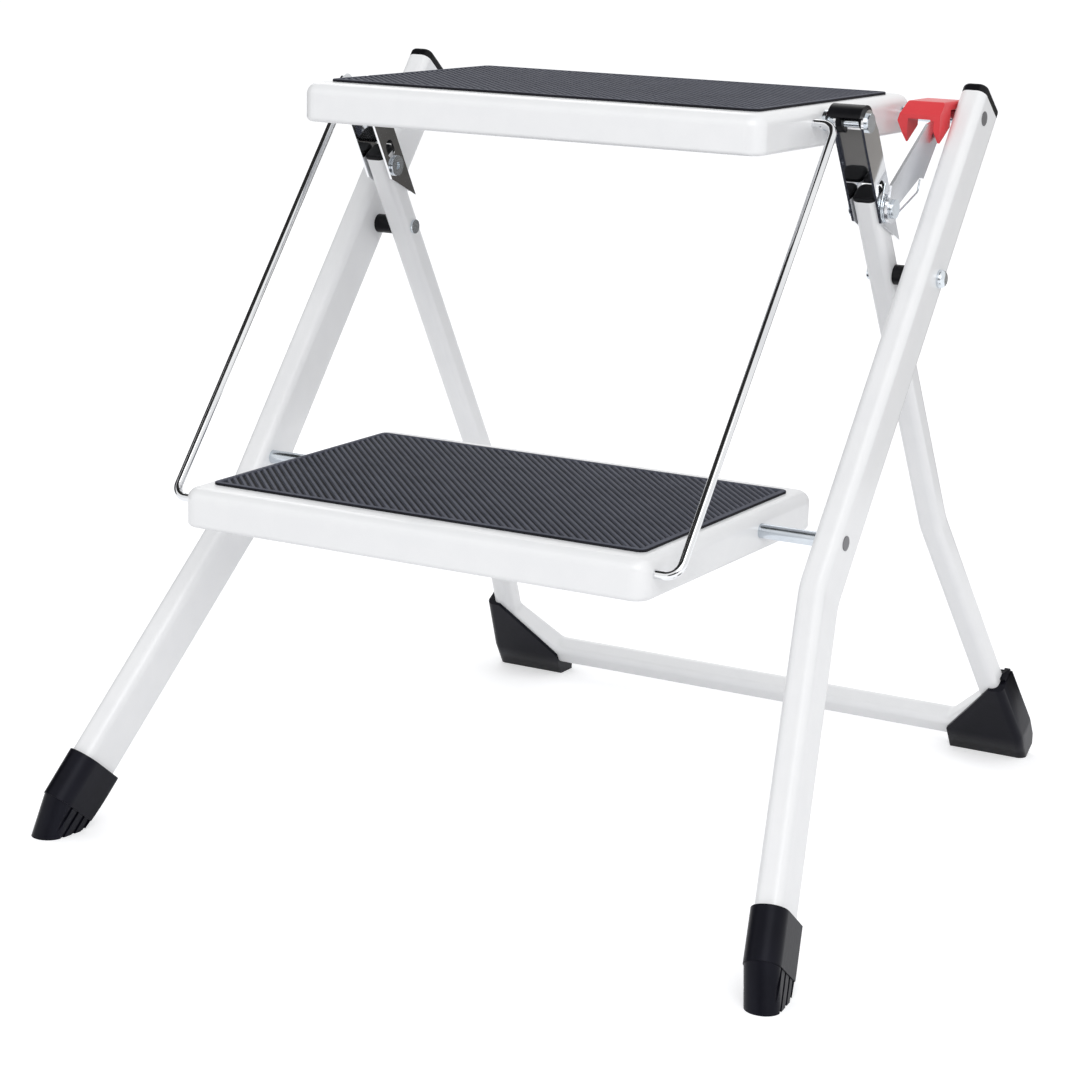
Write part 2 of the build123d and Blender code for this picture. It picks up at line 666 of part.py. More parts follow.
# Cap over the right bracket's pin
roof_length = flange_outer - bracket_sheet - cap_end
with BuildPart() as hinge_cap:
    with BuildSketch(across_plane(cap_end, hinge_at)):
        Circle(cap_roof_radius)
        Circle(cap_roof_radius - cap_roof_thickness, mode=Mode.SUBTRACT)
        with Locations((0, cap_roof_edge)):
            Rectangle(3 * cap_roof_radius, 3 * cap_roof_radius, align=(Align.CENTER, Align.MAX), mode=Mode.SUBTRACT)
    extrude(amount=roof_length)
    with BuildSketch(across_plane(cap_end, hinge_at)):
        Circle(cap_roof_radius)
        with Locations((0, cap_roof_edge)):
            Rectangle(3 * cap_roof_radius, 3 * cap_roof_radius, align=(Align.CENTER, Align.MAX), mode=Mode.SUBTRACT)
        Circle(hinge_pin_diameter / 2 + running_clearance, mode=Mode.SUBTRACT)
    extrude(amount=cap_end_wall)
    for lug_station in (flange_inner + bracket_sheet, flange_outer - bracket_sheet - cap_lug_thickness):
        with BuildSketch(across_plane(lug_station, hinge_at, rear_lean)):
            with BuildLine():
                Polyline(
                    (-cap_lug_width / 2, cap_roof_radius - cap_roof_thickness),
                    (-cap_lug_width / 2, 0),
                    (-cap_lug_point / 2, -cap_lug_drop),
                    (cap_lug_point / 2, -cap_lug_drop),
                    (cap_lug_width / 2, 0),
                    (cap_lug_width / 2, cap_roof_radius - cap_roof_thickness),
                    close=True,
                )
            make_face()
            Circle(hinge_pin_diameter / 2 + running_clearance, mode=Mode.SUBTRACT)
        extrude(amount=cap_lug_thickness)
hinge_cap.part.label = "hinge_cap"
export_step(hinge_cap.part, "parts/hinge_cap.step")

# Struts, with the clips that keep their ends in the pans
strut_run = pan_side + strut_stand
strut_end = pan_side - step_sheet - strut_tail

for side, tag in ((-1, "left"), (1, "right")):
    with BuildPart() as strut:
        with BuildLine() as strut_path:
            FilletPolyline(
                (side * strut_end, *strut_top_at),
                (side * strut_run, *strut_top_at),
                (side * strut_run, *strut_foot_at),
                (side * strut_end, *strut_foot_at),
                radius=strut_bend,
            )
        with BuildSketch(Plane(origin=strut_path.line @ 0, z_dir=strut_path.line % 0)):
            Circle(strut_wire / 2)
        sweep(path=strut_path.line)
    strut.part.label = f"strut_{tag}"
    export_step(strut.part, f"parts/strut_{tag}.step")

    with BuildPart() as strut_clips:
        for clip_at in (strut_top_at, strut_foot_at):
            with BuildSketch(across_plane(side * (pan_side - step_sheet - clip_gap), clip_at)):
                Circle(clip_diameter / 2)
                Circle(strut_wire / 2, mode=Mode.SUBTRACT)
            extrude(amount=-side * clip_thickness)
    strut_clips.part.label = f"strut_clips_{tag}"
    export_step(strut_clips.part, f"parts/strut_clips_{tag}.step")

# Catch lever, from the right bracket's lower rivet to the hook
lever_angle = math.degrees(math.atan2(upper_rod_at[1] - link_at[1], upper_rod_at[0] - link_at[0]))
with BuildPart() as catch_lever:
    with BuildSketch(across_plane(lever_inner, link_at, lever_angle)):
        Circle(lever_eye_radius)
        with BuildLine():
            Polyline(
                (-lever_eye_radius, 0),
                (lever_shoulder_reach, lever_shoulder_rise),
                (lever_crown_reach, lever_crown_rise),
                (lever_blade_reach, lever_blade_rise),
                (lever_blade_reach, 0),
                (lever_neck_reach, -lever_neck_drop),
                (lever_tooth_reach, -lever_tooth_drop),
                (lever_notch_reach, -lever_notch_drop),
                (lever_root_reach, -lever_root_drop),
                (0, -lever_eye_radius),
                close=True,
            )
        make_face()
        Circle(link_shank_diameter / 2 + running_clearance, mode=Mode.SUBTRACT)
    extrude(amount=lever_sheet)
catch_lever.part.label = "catch_lever"
export_step(catch_lever.part, "parts/catch_lever.step")

with BuildPart() as catch_bush:
    with BuildSketch(across_plane(flange_outer + side_clearance, link_at)):
        Circle(catch_bush_diameter / 2)
        Circle(link_shank_diameter / 2 + running_clearance, mode=Mode.SUBTRACT)
    extrude(amount=lever_inner - flange_outer - side_clearance)
catch_bush.part.label = "catch_bush"
export_step(catch_bush.part, "parts/catch_bush.step")

# The spring's long leg hooks under the lever, its short leg bears on the bracket
spring_plane = across_plane(flange_outer + side_clearance + spring_wire / 2, link_at, lever_angle)
coil_points = []
for count in range(round(360 * spring_turns / spring_step) + 1):
    coil_turn = spring_exit - 360 * spring_turns + count * spring_step
    coil_points.append(
        (
            spring_radius * math.cos(math.radians(coil_turn)),
            spring_radius * math.sin(math.radians(coil_turn)),
            spring_pitch * count * spring_step / 360,
        )
    )
coil_depth = coil_points[-1][2]
coil_from = math.radians(spring_exit - 360 * spring_turns)
short_way = spring_plane.from_local_coords((math.sin(coil_from), -math.cos(coil_from), 0)) - spring_plane.origin
with BuildPart() as catch_spring:
    with BuildLine(spring_plane) as coil_path:
        Spline(*coil_points)
    with BuildSketch(Plane(origin=coil_path.line @ 0, z_dir=coil_path.line % 0)):
        Circle(spring_wire / 2)
    sweep(path=coil_path.line, is_frenet=True)
    with BuildSketch(Plane(origin=coil_path.line @ 0, z_dir=-(coil_path.line % 0))):
        Circle(spring_wire / 2)
    extrude(amount=spring_short_leg, dir=short_way)
    with BuildLine(spring_plane) as leg_run:
        FilletPolyline(
            coil_points[-1],
            (spring_knee_reach, -spring_knee_drop, coil_depth),
            (spring_tip_reach, -spring_tip_drop, coil_depth),
            radius=spring_knee_radius,
        )
    with BuildSketch(Plane(origin=leg_run.line @ 0, z_dir=leg_run.line % 0)):
        Circle(spring_wire / 2)
    sweep(path=leg_run.line)
catch_spring.part.label = "catch_spring"
export_step(catch_spring.part, "parts/catch_spring.step")

# Hook: a saddle moulded over the lever's blade, with a prong in front of the rod on each side
hook_left = hook_outer - hook_width
rod_height = upper_rod_at[1]
with BuildPart() as catch_hook:
    with BuildSketch(across_plane(hook_left, upper_rod_at)):
        with BuildLine():
            Polyline(
                (-hook_front + hook_brow, hook_top),
                (-hook_front, hook_top - hook_brow),
                (-hook_front, -hook_face_drop),
                (-hook_tip_front, -hook_tip_drop),
                (-hook_heel_front, -hook_heel_drop),
                (-hook_heel_front, rod_diameter / 2 + hook_throat_gap),
                (hook_rear, rod_diameter / 2 + hook_throat_gap),
                (hook_rear, hook_top),
                close=True,
            )
        make_face()
    extrude(amount=hook_width)
    with BuildSketch(Plane.XZ):
        with BuildLine():
            Polyline(
                (hook_left, rod_height + hook_front),
                (hook_left + hook_flare, rod_height + hook_top),
                (hook_left, rod_height - hook_flare_drop),
                close=True,
            )
        make_face()
        with BuildLine():
            Polyline(
                (hook_left, rod_height - hook_flare_drop),
                (hook_left + hook_left_taper, rod_height - hook_tip_drop),
                (hook_left, rod_height - hook_tip_drop),
                close=True,
            )
        make_face()
        with BuildLine():
            Polyline(
                (hook_outer - hook_right_wall, rod_height - hook_apron_drop),
                (hook_outer - hook_right_tip, rod_height - hook_tip_drop),
                (hook_outer - hook_right_wall, rod_height - hook_tip_drop),
                close=True,
            )
        make_face()
    extrude(amount=leg_spacing, both=True, mode=Mode.SUBTRACT)
    fillet(catch_hook.faces().sort_by(Axis.Z)[-1].edges(), hook_round)
    with BuildSketch(across_plane(hook_left + hook_left_wall, upper_rod_at)):
        with Locations((-hook_front + hook_front_wall, hook_top - hook_roof)):
            Rectangle(2 * hook_front, 2 * hook_front, align=(Align.MIN, Align.MAX))
        with Locations((-hook_front, -hook_apron_drop)):
            Rectangle(2 * hook_front, 2 * hook_front, align=(Align.CENTER, Align.MAX))
    extrude(amount=hook_width - hook_left_wall - hook_right_wall, mode=Mode.SUBTRACT)
    add(catch_lever.part, mode=Mode.SUBTRACT)
catch_hook.part.label = "catch_hook"
export_step(catch_hook.part, "parts/catch_hook.step")
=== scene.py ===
import json
import math

import bpy
from mathutils import Matrix, Vector


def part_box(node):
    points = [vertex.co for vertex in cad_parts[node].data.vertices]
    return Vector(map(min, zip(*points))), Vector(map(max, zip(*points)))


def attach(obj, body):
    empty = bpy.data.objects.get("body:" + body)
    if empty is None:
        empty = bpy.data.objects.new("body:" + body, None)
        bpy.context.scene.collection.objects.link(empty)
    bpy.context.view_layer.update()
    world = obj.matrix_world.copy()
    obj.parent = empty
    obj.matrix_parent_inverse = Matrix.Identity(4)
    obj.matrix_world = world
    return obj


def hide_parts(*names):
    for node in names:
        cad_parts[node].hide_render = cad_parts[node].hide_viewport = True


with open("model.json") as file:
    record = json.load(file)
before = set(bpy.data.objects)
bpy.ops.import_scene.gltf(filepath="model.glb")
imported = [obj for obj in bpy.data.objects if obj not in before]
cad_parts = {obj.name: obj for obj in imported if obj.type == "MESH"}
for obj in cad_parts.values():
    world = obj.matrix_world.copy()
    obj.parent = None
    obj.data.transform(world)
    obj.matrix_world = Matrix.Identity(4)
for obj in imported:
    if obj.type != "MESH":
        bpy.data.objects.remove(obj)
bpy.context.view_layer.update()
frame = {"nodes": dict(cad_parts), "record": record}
nodes = frame["nodes"]
scene = bpy.context.scene
mm = 0.001
white = (1, 1, 1, 1)
print("stool frame loaded:", len(nodes), "nodes")


# Small helpers for objects and shader nodes

def linked(name, content):
    thing = bpy.data.objects.new(name, content)
    scene.collection.objects.link(thing)
    return thing


def newMaterial(name):
    material = bpy.data.materials.new(name)
    material.use_nodes = True
    tree = material.node_tree
    return material, tree, tree.nodes["Principled BSDF"]


def mathNode(tree, operation):
    node = tree.nodes.new("ShaderNodeMath")
    node.operation = operation
    return node


def flatSheet(name, width, height):
    mesh = bpy.data.meshes.new(name)
    right, top = width / 2, height / 2
    corners = [(-right, -top, 0), (right, -top, 0), (right, top, 0), (-right, top, 0)]
    mesh.from_pydata(corners, [], [(0, 1, 2, 3)])
    return linked(name, mesh)


def blockMesh(name, start, spans):
    # Closed block: each span is a direction, with how far it reaches from the start, back and forth
    points = []
    for pick in range(8):
        spot = start.copy()
        for bit, (axis, low, high) in enumerate(spans):
            spot += axis * (high if pick >> bit & 1 else low)
        points.append(spot)
    sides = [(0, 2, 3, 1), (4, 5, 7, 6), (0, 1, 5, 4), (2, 6, 7, 3), (0, 4, 6, 2), (1, 3, 7, 5)]
    first, second, third = (axis for axis, low, high in spans)
    if first.cross(second).dot(third) < 0:
        sides = [tuple(reversed(side)) for side in sides]
    mesh = bpy.data.meshes.new(name)
    mesh.from_pydata(points, [], sides)
    return mesh


# Studio: pale floor, one large soft lamp, one fill, and dark flags that only reflections see

studio = {
    "floorSize": 30.0,
    "floorColour": (0.82, 0.82, 0.83, 1),
    "floorRoughness": 0.9,
    "floorShine": 0.1,
    "floorGlow": 0.42,  # only for the rays that see the backdrop
    "skyStrength": 0.78,
    "skyColour": (0.98, 0.99, 1.0, 1),
    "backdropStrength": 1.0,
    "keyPlace": (1.3, -2.0, 1.8),
    "keySize": 1.8,
    "keyPower": 23.5,
    "fillPlace": (-1.6, 1.8, 2.0),
    "fillSize": 1.6,
    "fillPower": 8,
    "aim": (0, 0, 0.24),
}
flagCloth = {
    "roughness": 1.0,
    "tint": (1.06, 1.0, 0.94),
}
# Each flag fades between two tones, given with their places across it
darkFlags = {
    "leftFlag": {
        "place": (-2.0, 0.1, 1.2), "face": (1, 0, 0), "size": (2.2, 2.8),
        "along": "X", "tones": ((0, 0.02), (1, 0.02)),
    },
    "overheadFlag": {
        "place": (-0.75, -0.5, 2.3), "face": (0, 0, -1), "size": (2.5, 2.4),
        "along": "X", "tones": ((0, 0.02), (1, 0.02)),
    },
    "frontFlag": {
        "place": (0.9, -2.7, 0.55), "face": (-0.3, 1, 0), "size": (2.6, 1.6),
        "along": "X", "tones": ((0, 0.03), (1, 0.03)),
    },
    "lowFlag": {
        "place": (0.38, -0.17, 0.003), "face": (0, 0, 1), "size": (0.14, 0.18),
        "along": "Y", "tones": ((0.50, 0.20), (0.66, 0.012)),
    },
    "backFlag": {
        "place": (0.36, 0.62, 0.33), "face": (0, -1, 0), "size": (0.56, 0.5),
        "along": "X", "tones": ((0.30, 0.08), (0.58, 0.32)),
    },
}


def softLamp(name, place, size, power):
    lampData = bpy.data.lights.new(name, "AREA")
    lampData.size = size
    lampData.energy = power
    lamp = linked(name, lampData)
    lamp.location = place
    lamp.rotation_mode = "QUATERNION"
    lamp.rotation_quaternion = (Vector(studio["aim"]) - Vector(place)).to_track_quat("-Z", "Y")


def seesBackdrop(tree):
    # 1 for rays that should see the plain white backdrop: camera, glossy and transmission
    lightPath = tree.nodes.new("ShaderNodeLightPath")
    either = mathNode(tree, "MAXIMUM")
    tree.links.new(lightPath.outputs["Is Camera Ray"], either.inputs[0])
    tree.links.new(lightPath.outputs["Is Glossy Ray"], either.inputs[1])
    anyRay = mathNode(tree, "MAXIMUM")
    tree.links.new(either.outputs[0], anyRay.inputs[0])
    tree.links.new(lightPath.outputs["Is Transmission Ray"], anyRay.inputs[1])
    return anyRay.outputs[0]


def darkFlag(name, flag):
    cloth, tree, weave = newMaterial(name + "Cloth")
    weave.inputs["Roughness"].default_value = flagCloth["roughness"]
    across = tree.nodes.new("ShaderNodeTexCoord")
    axes = tree.nodes.new("ShaderNodeSeparateXYZ")
    fade = tree.nodes.new("ShaderNodeValToRGB")
    for stop, (spot, tone) in zip(fade.color_ramp.elements, flag["tones"]):
        stop.position = spot
        stop.color = (*(tone * share for share in flagCloth["tint"]), 1)
    tree.links.new(across.outputs["Generated"], axes.inputs[0])
    tree.links.new(axes.outputs[flag["along"]], fade.inputs["Fac"])
    tree.links.new(fade.outputs["Color"], weave.inputs["Base Color"])
    sheet = flatSheet(name, *flag["size"])
    sheet.location = flag["place"]
    sheet.rotation_mode = "QUATERNION"
    sheet.rotation_quaternion = Vector(flag["face"]).to_track_quat("Z", "Y")
    sheet.data.materials.append(cloth)
    sheet.visible_camera = False
    sheet.visible_diffuse = False
    sheet.visible_shadow = False
    return sheet


def buildSky():
    world = bpy.data.worlds.new("studioSky")
    scene.world = world
    world.use_nodes = True
    tree = world.node_tree
    sky = tree.nodes["Background"]
    sky.inputs["Color"].default_value = studio["skyColour"]
    sky.inputs["Strength"].default_value = studio["skyStrength"]
    backdrop = tree.nodes.new("ShaderNodeBackground")
    backdrop.inputs["Color"].default_value = white
    backdrop.inputs["Strength"].default_value = studio["backdropStrength"]
    choose = tree.nodes.new("ShaderNodeMixShader")
    tree.links.new(seesBackdrop(tree), choose.inputs[0])
    tree.links.new(sky.outputs[0], choose.inputs[1])
    tree.links.new(backdrop.outputs[0], choose.inputs[2])
    tree.links.new(choose.outputs[0], tree.nodes["World Output"].inputs["Surface"])


def buildFloor():
    floor = flatSheet("studioFloor", studio["floorSize"], studio["floorSize"])
    paper, tree, matt = newMaterial("floorPaper")
    matt.inputs["Base Color"].default_value = studio["floorColour"]
    matt.inputs["Roughness"].default_value = studio["floorRoughness"]
    matt.inputs["Specular IOR Level"].default_value = studio["floorShine"]
    glow = tree.nodes.new("ShaderNodeEmission")
    glow.inputs["Color"].default_value = white
    glowLevel = mathNode(tree, "MULTIPLY")
    glowLevel.inputs[1].default_value = studio["floorGlow"]
    tree.links.new(seesBackdrop(tree), glowLevel.inputs[0])
    tree.links.new(glowLevel.outputs[0], glow.inputs["Strength"])
    both = tree.nodes.new("ShaderNodeAddShader")
    tree.links.new(matt.outputs[0], both.inputs[0])
    tree.links.new(glow.outputs[0], both.inputs[1])
    tree.links.new(both.outputs[0], tree.nodes["Material Output"].inputs["Surface"])
    floor.data.materials.append(paper)
    return floor


def buildStudio():
    buildSky()
    floor = buildFloor()
    flags = [darkFlag(name, flag) for name, flag in darkFlags.items()]
    softLamp("keyLamp", studio["keyPlace"], studio["keySize"], studio["keyPower"])
    softLamp("fillLamp", studio["fillPlace"], studio["fillSize"], studio["fillPower"])
    print("studio built:", len(flags), "flags")


# Camera at the photograph's viewing angle

viewpoint = {
    "place": (0.78195, -1.4663, 0.56829),
    "yaw": 29.43,
    "pitch": -13.05,
    "roll": 1.59,
    "sensor": 36,
    "lens": 92.82,
    "shift": (-0.0005, -0.0162),
}


def placeCamera():
    yaw, pitch, roll = (math.radians(viewpoint[turn]) for turn in ("yaw", "pitch", "roll"))
    level = Vector((math.cos(yaw), math.sin(yaw), 0))
    heading = Vector((-math.sin(yaw), math.cos(yaw), 0))
    ahead = heading * math.cos(pitch) + Vector((0, 0, math.sin(pitch)))
    upright = level.cross(ahead)
    right = level * math.cos(roll) + upright * math.sin(roll)
    up = upright * math.cos(roll) - level * math.sin(roll)
    cameraData = bpy.data.cameras.new("photoCamera")
    cameraData.sensor_width = viewpoint["sensor"]
    cameraData.lens = viewpoint["lens"]
    cameraData.shift_x, cameraData.shift_y = viewpoint["shift"]
    camera = linked("photoCamera", cameraData)
    facing = Matrix((right, up, -ahead)).transposed()
    camera.matrix_world = Matrix.Translation(viewpoint["place"]) @ facing.to_4x4()
    scene.camera = camera
    print("camera placed")


# Finishes: a cloudy tone between deep and pale, and a fine grain in relief

powderCoat = {
    "shader": {"Roughness": 0.32, "Coat Weight": 0.25, "Coat Roughness": 0.12},
    "pale": (0.885, 0.886, 0.892, 1),
    "deep": (0.868, 0.870, 0.878, 1),
    "grain": 900.0,
    "relief": 0.05,
    "reliefDepth": 0.2 * mm,
}
brightChrome = {
    "shader": {"Metallic": 1.0, "Roughness": 0.06},
    "pale": (0.86, 0.87, 0.88, 1),
    "deep": (0.74, 0.75, 0.77, 1),
    "grain": 160.0,
    "relief": 0.02,
    "reliefDepth": 0.1 * mm,
}
satinPlate = {
    "shader": {"Metallic": 1.0, "Roughness": 0.27},
    "pale": (0.80, 0.81, 0.83, 1),
    "deep": (0.62, 0.63, 0.66, 1),
    "grain": 260.0,
    "relief": 0.05,
    "reliefDepth": 0.1 * mm,
}
brightZinc = {
    "shader": {"Metallic": 1.0, "Roughness": 0.24},
    "pale": (0.74, 0.79, 0.83, 1),
    "deep": (0.56, 0.60, 0.65, 1),
    "grain": 420.0,
    "relief": 0.08,
    "reliefDepth": 0.2 * mm,
}
redMoulding = {
    "shader": {"Roughness": 0.36, "Specular IOR Level": 0.5},
    "pale": (0.82, 0.075, 0.085, 1),
    "deep": (0.76, 0.050, 0.060, 1),
    "grain": 240.0,
    "relief": 0.05,
    "reliefDepth": 0.2 * mm,
}
blackMoulding = {
    "shader": {"Roughness": 0.34, "Specular IOR Level": 0.16},
    "pale": (0.0085, 0.0085, 0.0105, 1),
    "deep": (0.004, 0.004, 0.005, 1),
    "grain": 320.0,
    "relief": 0.06,
    "reliefDepth": 0.2 * mm,
}
footRubber = {
    "shader": {
        "Roughness": 0.36,
        "Specular IOR Level": 0.14,
        "Specular Tint": (0.86, 0.88, 1.0, 1),
    },
    "pale": (0.0062, 0.0062, 0.0105, 1),
    "deep": (0.0024, 0.0024, 0.0044, 1),
    "grain": 380.0,
    "relief": 0.16,
    "reliefDepth": 0.3 * mm,
}
matRubber = {
    "shader": {"Roughness": 0.62, "Specular IOR Level": 0.1},
    "pale": (0.087, 0.092, 0.119, 1),
    "deep": (0.075, 0.079, 0.103, 1),
    "grain": 700.0,
    "relief": 0.18,
    "reliefDepth": 0.3 * mm,
}
# Painted shade: a much darker copy of the mat rubber, for the mat's outer walls and for the groove
# floor between the ribs
paintedShadeRubber = {
    "shader": {"Roughness": 0.8, "Specular IOR Level": 0.2},
    "pale": (0.016, 0.016, 0.021, 1),
    "deep": (0.010, 0.010, 0.013, 1),
    "grain": 700.0,
    "relief": 0.18,
    "reliefDepth": 0.3 * mm,
}
surfaceNoise = {
    "cloudsPerGrain": 1 / 14,
    "cloudDetail": 4,
    "grainDetail": 2,
    "deepStop": 0.35,
    "paleStop": 0.65,
}
rodEnd = {
    "colour": (0.25, 0.25, 0.26, 1),
    "roughness": 0.55,
    "depth": 0.4 * mm,
}


def makeFinish(name, look):
    finish, tree, shader = newMaterial(name)
    for socket, value in look["shader"].items():
        shader.inputs[socket].default_value = value
    place = tree.nodes.new("ShaderNodeTexCoord")
    cloud = tree.nodes.new("ShaderNodeTexNoise")
    cloud.inputs["Scale"].default_value = look["grain"] * surfaceNoise["cloudsPerGrain"]
    cloud.inputs["Detail"].default_value = surfaceNoise["cloudDetail"]
    tone = tree.nodes.new("ShaderNodeValToRGB")
    deep, pale = tone.color_ramp.elements
    deep.position, deep.color = surfaceNoise["deepStop"], look["deep"]
    pale.position, pale.color = surfaceNoise["paleStop"], look["pale"]
    grain = tree.nodes.new("ShaderNodeTexNoise")
    grain.inputs["Scale"].default_value = look["grain"]
    grain.inputs["Detail"].default_value = surfaceNoise["grainDetail"]
    relief = tree.nodes.new("ShaderNodeBump")
    relief.inputs["Strength"].default_value = look["relief"]
    relief.inputs["Distance"].default_value = look["reliefDepth"]
    tree.links.new(place.outputs["Object"], cloud.inputs["Vector"])
    tree.links.new(place.outputs["Object"], grain.inputs["Vector"])
    tree.links.new(cloud.outputs["Fac"], tone.inputs["Fac"])
    tree.links.new(tone.outputs["Color"], shader.inputs["Base Color"])
    tree.links.new(grain.outputs["Fac"], relief.inputs["Height"])
    tree.links.new(relief.outputs["Normal"], shader.inputs["Normal"])
    return finish


def sawnEnds(finish, node):
    # The rods' ends are bare grey where they were cut to length
    tree = finish.node_tree
    shader = tree.nodes["Principled BSDF"]
    plated = shader.inputs["Base Color"].links[0].from_socket
    place = tree.nodes.new("ShaderNodeTexCoord")
    axes = tree.nodes.new("ShaderNodeSeparateXYZ")
    out = mathNode(tree, "ABSOLUTE")
    atEnd = mathNode(tree, "GREATER_THAN")
    atEnd.inputs[1].default_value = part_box(node)[1].x - rodEnd["depth"]
    colour = tree.nodes.new("ShaderNodeMix")
    colour.data_type = "RGBA"
    colour.inputs["B"].default_value = rodEnd["colour"]
    rough = tree.nodes.new("ShaderNodeMapRange")
    rough.inputs["To Min"].default_value = shader.inputs["Roughness"].default_value
    rough.inputs["To Max"].default_value = rodEnd["roughness"]
    tree.links.new(place.outputs["Object"], axes.inputs[0])
    tree.links.new(axes.outputs["X"], out.inputs[0])
    tree.links.new(out.outputs[0], atEnd.inputs[0])
    tree.links.new(atEnd.outputs[0], colour.inputs["Factor"])
    tree.links.new(plated, colour.inputs["A"])
    tree.links.new(colour.outputs["Result"], shader.inputs["Base Color"])
    tree.links.new(atEnd.outputs[0], rough.inputs["Value"])
    tree.links.new(rough.outputs["Result"], shader.inputs["Roughness"])
    return finish


finishes = {
    "white_paint": makeFinish("powderCoat", powderCoat),
    "chrome": makeFinish("brightChrome", brightChrome),
    "zinc": makeFinish("brightZinc", brightZinc),
    "red_plastic": makeFinish("redMoulding", redMoulding),
    "black_plastic": makeFinish("blackMoulding", blackMoulding),
    "black_rubber": makeFinish("footRubber", footRubber),
    "mat_rubber": makeFinish("matRubber", matRubber),
}
# Painted shade for the mats' outer walls and groove floor
paintedShadeFinish = makeFinish("paintedShadeRubber", paintedShadeRubber)


def dressFrame():
    for piece in frame["record"]["subparts"]:
        mesh = nodes[piece["node"]].data
        mesh.materials.clear()
        mesh.materials.append(finishes[piece["material_slot"]])
    nodes["catch_lever"].data.materials[0] = makeFinish("satinPlate", satinPlate)
    for rod in ("upper_rod", "lower_rod"):
        nodes[rod].data.materials[0] = sawnEnds(makeFinish(rod, brightZinc), rod)
    print("frame dressed")


# Ribbed mats: a plain raised border round slanting ribs, with painted shade on the outer walls and
# the groove floor

matShape = {
    "corner": 4.5 * mm,
    "cornerSteps": 6,
    "edgeRound": 0.6 * mm,
    "edgeMiddle": 0.3,  # share of the round, from each of its two faces
    "border": 3.5 * mm,
    "borderSlope": 0.3 * mm,
    "floorDrop": 1.0 * mm,
    "ribPitch": 3.97 * mm,
    "ribFoot": 2.5 * mm,
    "ribCrest": 1.5 * mm,
    "ribDrop": 0.15 * mm,
    "ribTurn": 42.7,
    "shortest": 1.5 * mm,  # a shorter rib is left out
}
# Sides of a rib, whose first end has corners 0 to 3 and whose last end has 4 to 7
ribSides = ((0, 1, 5, 4), (1, 2, 6, 5), (2, 3, 7, 6), (3, 0, 4, 7), (3, 2, 1, 0), (4, 5, 6, 7))


def roundedLoop(centre, half, corner, steps, height):
    loop = []
    for quarter, (signX, signY) in enumerate(((1, 1), (-1, 1), (-1, -1), (1, -1))):
        for step in range(steps + 1):
            angle = math.pi / 2 * (quarter + step / steps)
            loop.append((
                centre.x + signX * (half.x - corner) + corner * math.cos(angle),
                centre.y + signY * (half.y - corner) + corner * math.sin(angle),
                height,
            ))
    return loop


def acrossField(offset, normal, along, half):
    # Where a slanting line crosses the field: its two ends, measured along the line
    low, high = -math.inf, math.inf
    for axis in (0, 1):
        start = normal[axis] * offset
        ends = sorted(((-half[axis] - start) / along[axis], (half[axis] - start) / along[axis]))
        low, high = max(low, ends[0]), min(high, ends[1])
    return low, high


def addRibs(points, faces, centre, field, floorHeight, crestHeight):
    turn = math.radians(matShape["ribTurn"])
    normal = Vector((math.cos(turn), math.sin(turn)))
    along = Vector((-normal.y, normal.x))
    reach = abs(normal.x) * field.x + abs(normal.y) * field.y
    furthest = int(reach / matShape["ribPitch"])
    section = [
        (-matShape["ribFoot"] / 2, floorHeight),
        (-matShape["ribCrest"] / 2, crestHeight),
        (matShape["ribCrest"] / 2, crestHeight),
        (matShape["ribFoot"] / 2, floorHeight),
    ]
    made = 0
    for rib in range(-furthest, furthest + 1):
        firstEnd, lastEnd = [], []
        for shift, height in section:
            offset = rib * matShape["ribPitch"] + shift
            first, last = acrossField(offset, normal, along, field)
            if last - first < matShape["shortest"]:
                break
            for distance, end in ((first, firstEnd), (last, lastEnd)):
                spot = normal * offset + along * distance
                end.append((centre.x + spot.x, centre.y + spot.y, height))
        if len(firstEnd) < len(section):
            continue
        base = len(points)
        points += firstEnd + lastEnd
        faces += [tuple(base + corner for corner in side) for side in ribSides]
        made += 1
    return made


def ribbedMat(name, node, body):
    low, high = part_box(node)
    centre = (low + high) / 2
    half = (high - low) / 2
    edge, border = matShape["edgeRound"], matShape["border"]
    floorHeight = high.z - matShape["floorDrop"]
    # Rings from the foot over the border to the groove floor, as inset and height
    rings = [
        (0, low.z),
        (0, high.z - edge),
        (matShape["edgeMiddle"] * edge, high.z - matShape["edgeMiddle"] * edge),
        (edge, high.z),
        (border - matShape["borderSlope"], high.z),
        (border, floorHeight),
    ]
    points, faces = [], []
    for inset, height in rings:
        inner = half - Vector((inset, inset, 0))
        corner = matShape["corner"] - inset
        points += roundedLoop(centre, inner, corner, matShape["cornerSteps"], height)
    count = len(points) // len(rings)
    for ring in range(len(rings) - 1):
        below, above = ring * count, (ring + 1) * count
        for this in range(count):
            following = (this + 1) % count
            faces.append((below + this, below + following, above + following, above + this))
    faces.append(tuple(reversed(range(count))))
    grooveFloor = len(faces)
    faces.append(tuple(range(len(points) - count, len(points))))
    sideWalls = range(2 * count)
    field = half - Vector((border, border, 0))
    ribs = addRibs(points, faces, centre, field, floorHeight, high.z - matShape["ribDrop"])

    mesh = bpy.data.meshes.new(name)
    mesh.from_pydata(points, [], faces)
    mesh.update()
    mat = linked(name, mesh)
    mesh.materials.append(finishes["mat_rubber"])
    mesh.materials.append(paintedShadeFinish)
    # Painted shade: the outer walls, the lower part of the edge round and the groove floor take the
    # darker copy of the rubber
    for dark in (*sideWalls, grooveFloor):
        mesh.polygons[dark].material_index = 1
    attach(mat, body)
    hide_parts(node)
    print(name, "made:", ribs, "ribs")


# Rear feet: open above the slanted corner of the tube, so that its white top shows

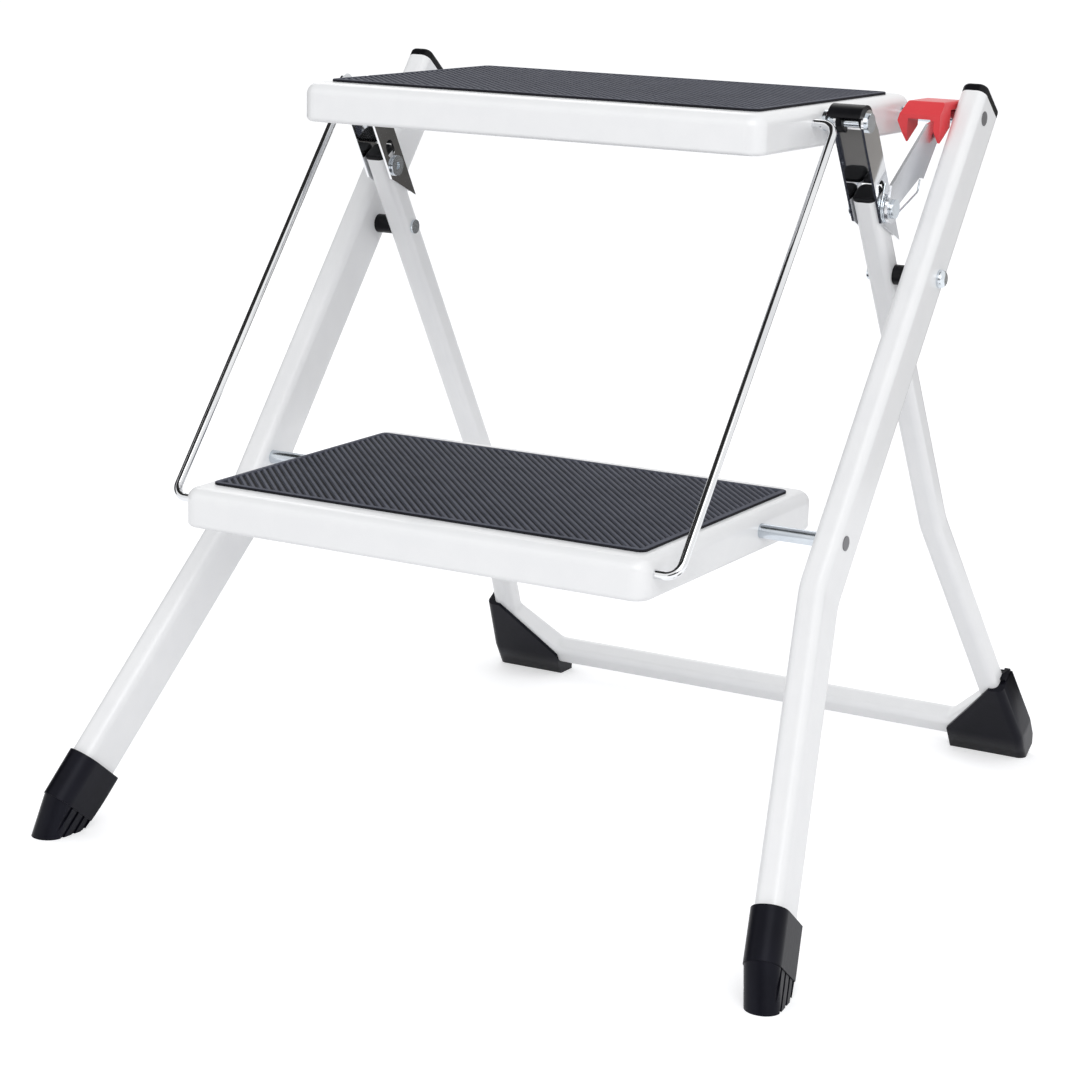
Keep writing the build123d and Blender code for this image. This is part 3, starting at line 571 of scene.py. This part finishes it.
rearFoot = {
    "lean": 31.7,  # rear frame, from the vertical
    "slant": 45.8,  # corner of the tube, from the level
    "corner": (187.55 * mm, 220.75 * mm, 46.3 * mm),
    "wallInside": 7.9 * mm,  # front wall kept, in front of this
    "aboveAxis": 1.0 * mm,
    "pastCorner": 8.0 * mm,
    "reach": 60.0 * mm,
    "sharpEdge": 32.0,
}


def openFoot(name, node, side):
    lean, slant = math.radians(rearFoot["lean"]), math.radians(rearFoot["slant"])
    upFrame = Vector((0, -math.sin(lean), math.cos(lean)))
    outwards = Vector((side, 0, 0))
    along = outwards * math.cos(slant) + upFrame * math.sin(slant)
    above = upFrame * math.cos(slant) - outwards * math.sin(slant)
    behind = Vector((0, math.cos(lean), math.sin(lean)))
    corner = Vector(rearFoot["corner"])
    corner.x *= side
    reach = rearFoot["reach"]
    cutter = linked(name + "Cut", blockMesh(name + "Cut", corner, (
        (along, -reach, rearFoot["pastCorner"]),
        (above, rearFoot["aboveAxis"], reach),
        (behind, -rearFoot["wallInside"], reach),
    )))
    foot = linked(name, nodes[node].data.copy())
    cut = foot.modifiers.new("open", "BOOLEAN")
    cut.operation = "DIFFERENCE"
    cut.solver = "EXACT"
    cut.object = cutter
    graph = bpy.context.evaluated_depsgraph_get()
    opened = bpy.data.meshes.new_from_object(foot.evaluated_get(graph))
    foot.modifiers.clear()
    foot.data = opened
    opened.name = name
    bpy.data.objects.remove(cutter)
    opened.polygons.foreach_set("use_smooth", [True] * len(opened.polygons))
    opened.set_sharp_from_angle(angle=math.radians(rearFoot["sharpEdge"]))
    opened.materials.clear()
    opened.materials.append(finishes["black_rubber"])
    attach(foot, "rear_frame")
    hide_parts(node)
    print(name, "opened:", len(opened.polygons), "faces")


# Brow of the red hook: the sloping face between its front and its roof

hookBrow = {
    "top": 9.5 * mm,  # roof above the upper rod's axis
    "front": 27.0 * mm,  # front face ahead of that axis
    "slope": 7.5 * mm,
    "walls": (6.2 * mm, 5.9 * mm),  # left and right, beside the panel
    "panel": 5.2 * mm,
    "centre": 0.97,  # share of half the slope, down from the roof
    "thickness": 1.2 * mm,
    "proud": 0.04 * mm,
}


def browPanel(name):
    low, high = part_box("catch_hook")
    rodLow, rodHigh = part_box("upper_rod")
    axis = (rodLow + rodHigh) / 2
    down = Vector((0, -1, -1)).normalized()
    out = Vector((0, -1, 1)).normalized()
    across = Vector((1, 0, 0))
    upper = Vector((0, axis.y - hookBrow["front"] + hookBrow["slope"], axis.z + hookBrow["top"]))
    middle = upper + down * (hookBrow["slope"] / math.sqrt(2) * hookBrow["centre"])
    leftWall, rightWall = hookBrow["walls"]
    mesh = blockMesh(name, middle, (
        (out, -hookBrow["thickness"], hookBrow["proud"]),
        (down, -hookBrow["panel"] / 2, hookBrow["panel"] / 2),
        (across, low.x + leftWall, high.x - rightWall),
    ))
    mesh.materials.append(finishes["red_plastic"])
    panel = linked(name, mesh)
    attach(panel, "catch")
    print(name, "made")


buildStudio()
placeCamera()
dressFrame()
ribbedMat("topMat", "top_step_mat", "top_step")
ribbedMat("lowerMat", "lower_step_mat", "lower_step")
openFoot("rearFootLeft", "rear_foot_left", -1)
openFoot("rearFootRight", "rear_foot_right", 1)
browPanel("hookBrow")

scene.view_settings.view_transform = "Standard"
